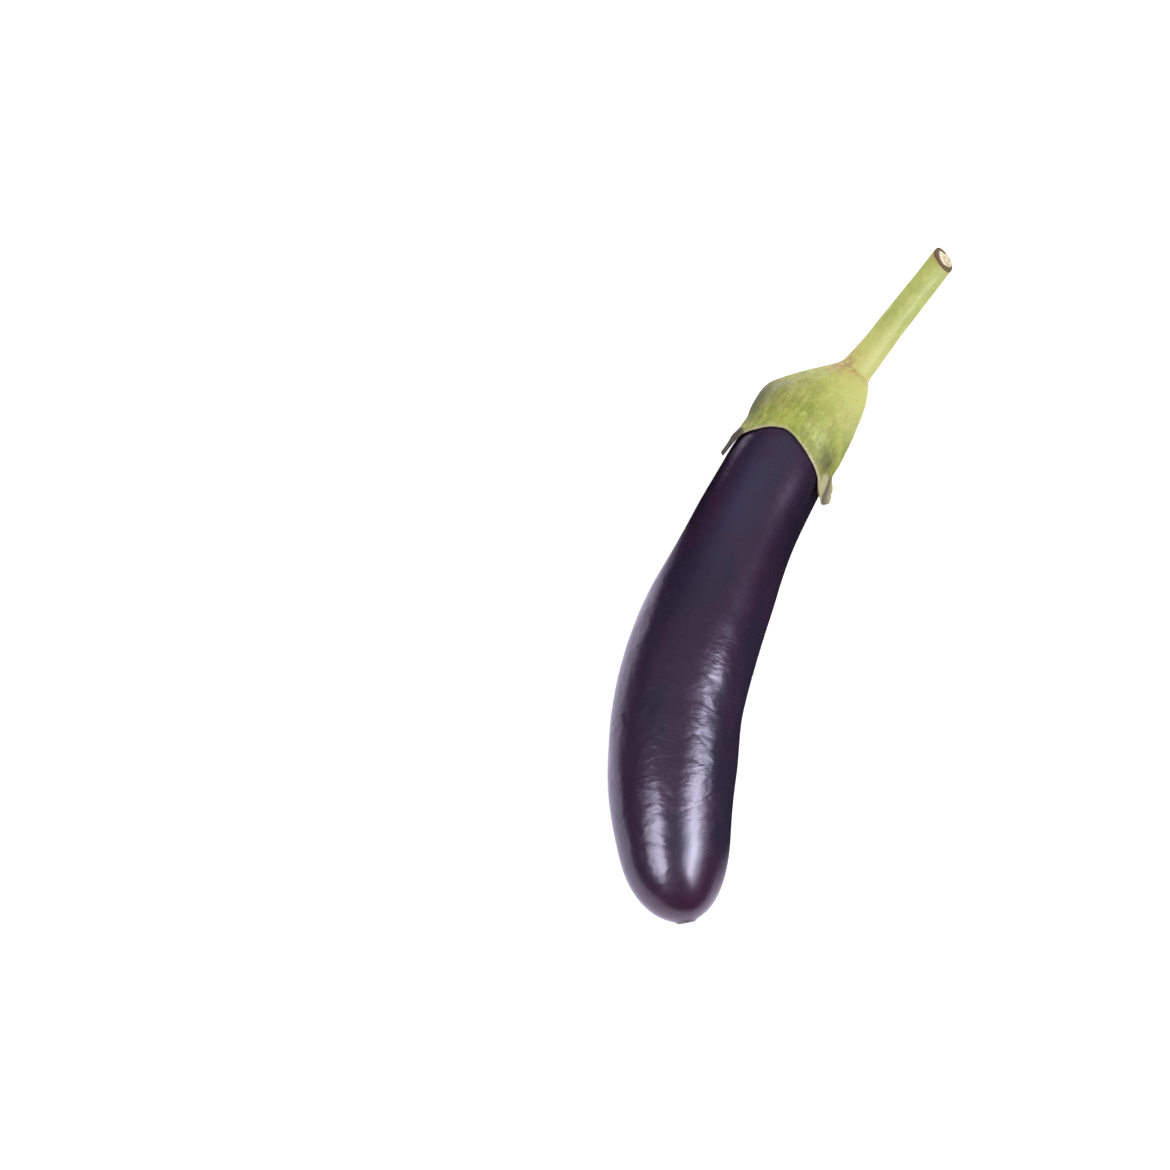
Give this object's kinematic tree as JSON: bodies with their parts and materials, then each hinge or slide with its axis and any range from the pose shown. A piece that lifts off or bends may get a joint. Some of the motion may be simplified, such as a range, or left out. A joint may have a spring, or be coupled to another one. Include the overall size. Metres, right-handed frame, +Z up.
{
  "type": "long eggplant",
  "caption": "Long purple eggplant as picked, lying on its side: a bowed glossy fruit, a green lobed calyx over its shoulder and a cut green stem.",
  "frame": {"origin": "on the table, under the middle of the whole vegetable's bounding box", "axes": "+Z up; +X along the length, from the blossom end to the cut stem; the fruit bows towards +Y"},
  "size_m": [0.2524, 0.0606, 0.0447],
  "materials": {
    "skin": "gloss",
    "calyx": "satin",
    "stem": "satin"
  },
  "bodies": {
    "root": {"fruit": "skin", "calyx": "calyx", "stem": "stem"}
  },
  "joints": []
}
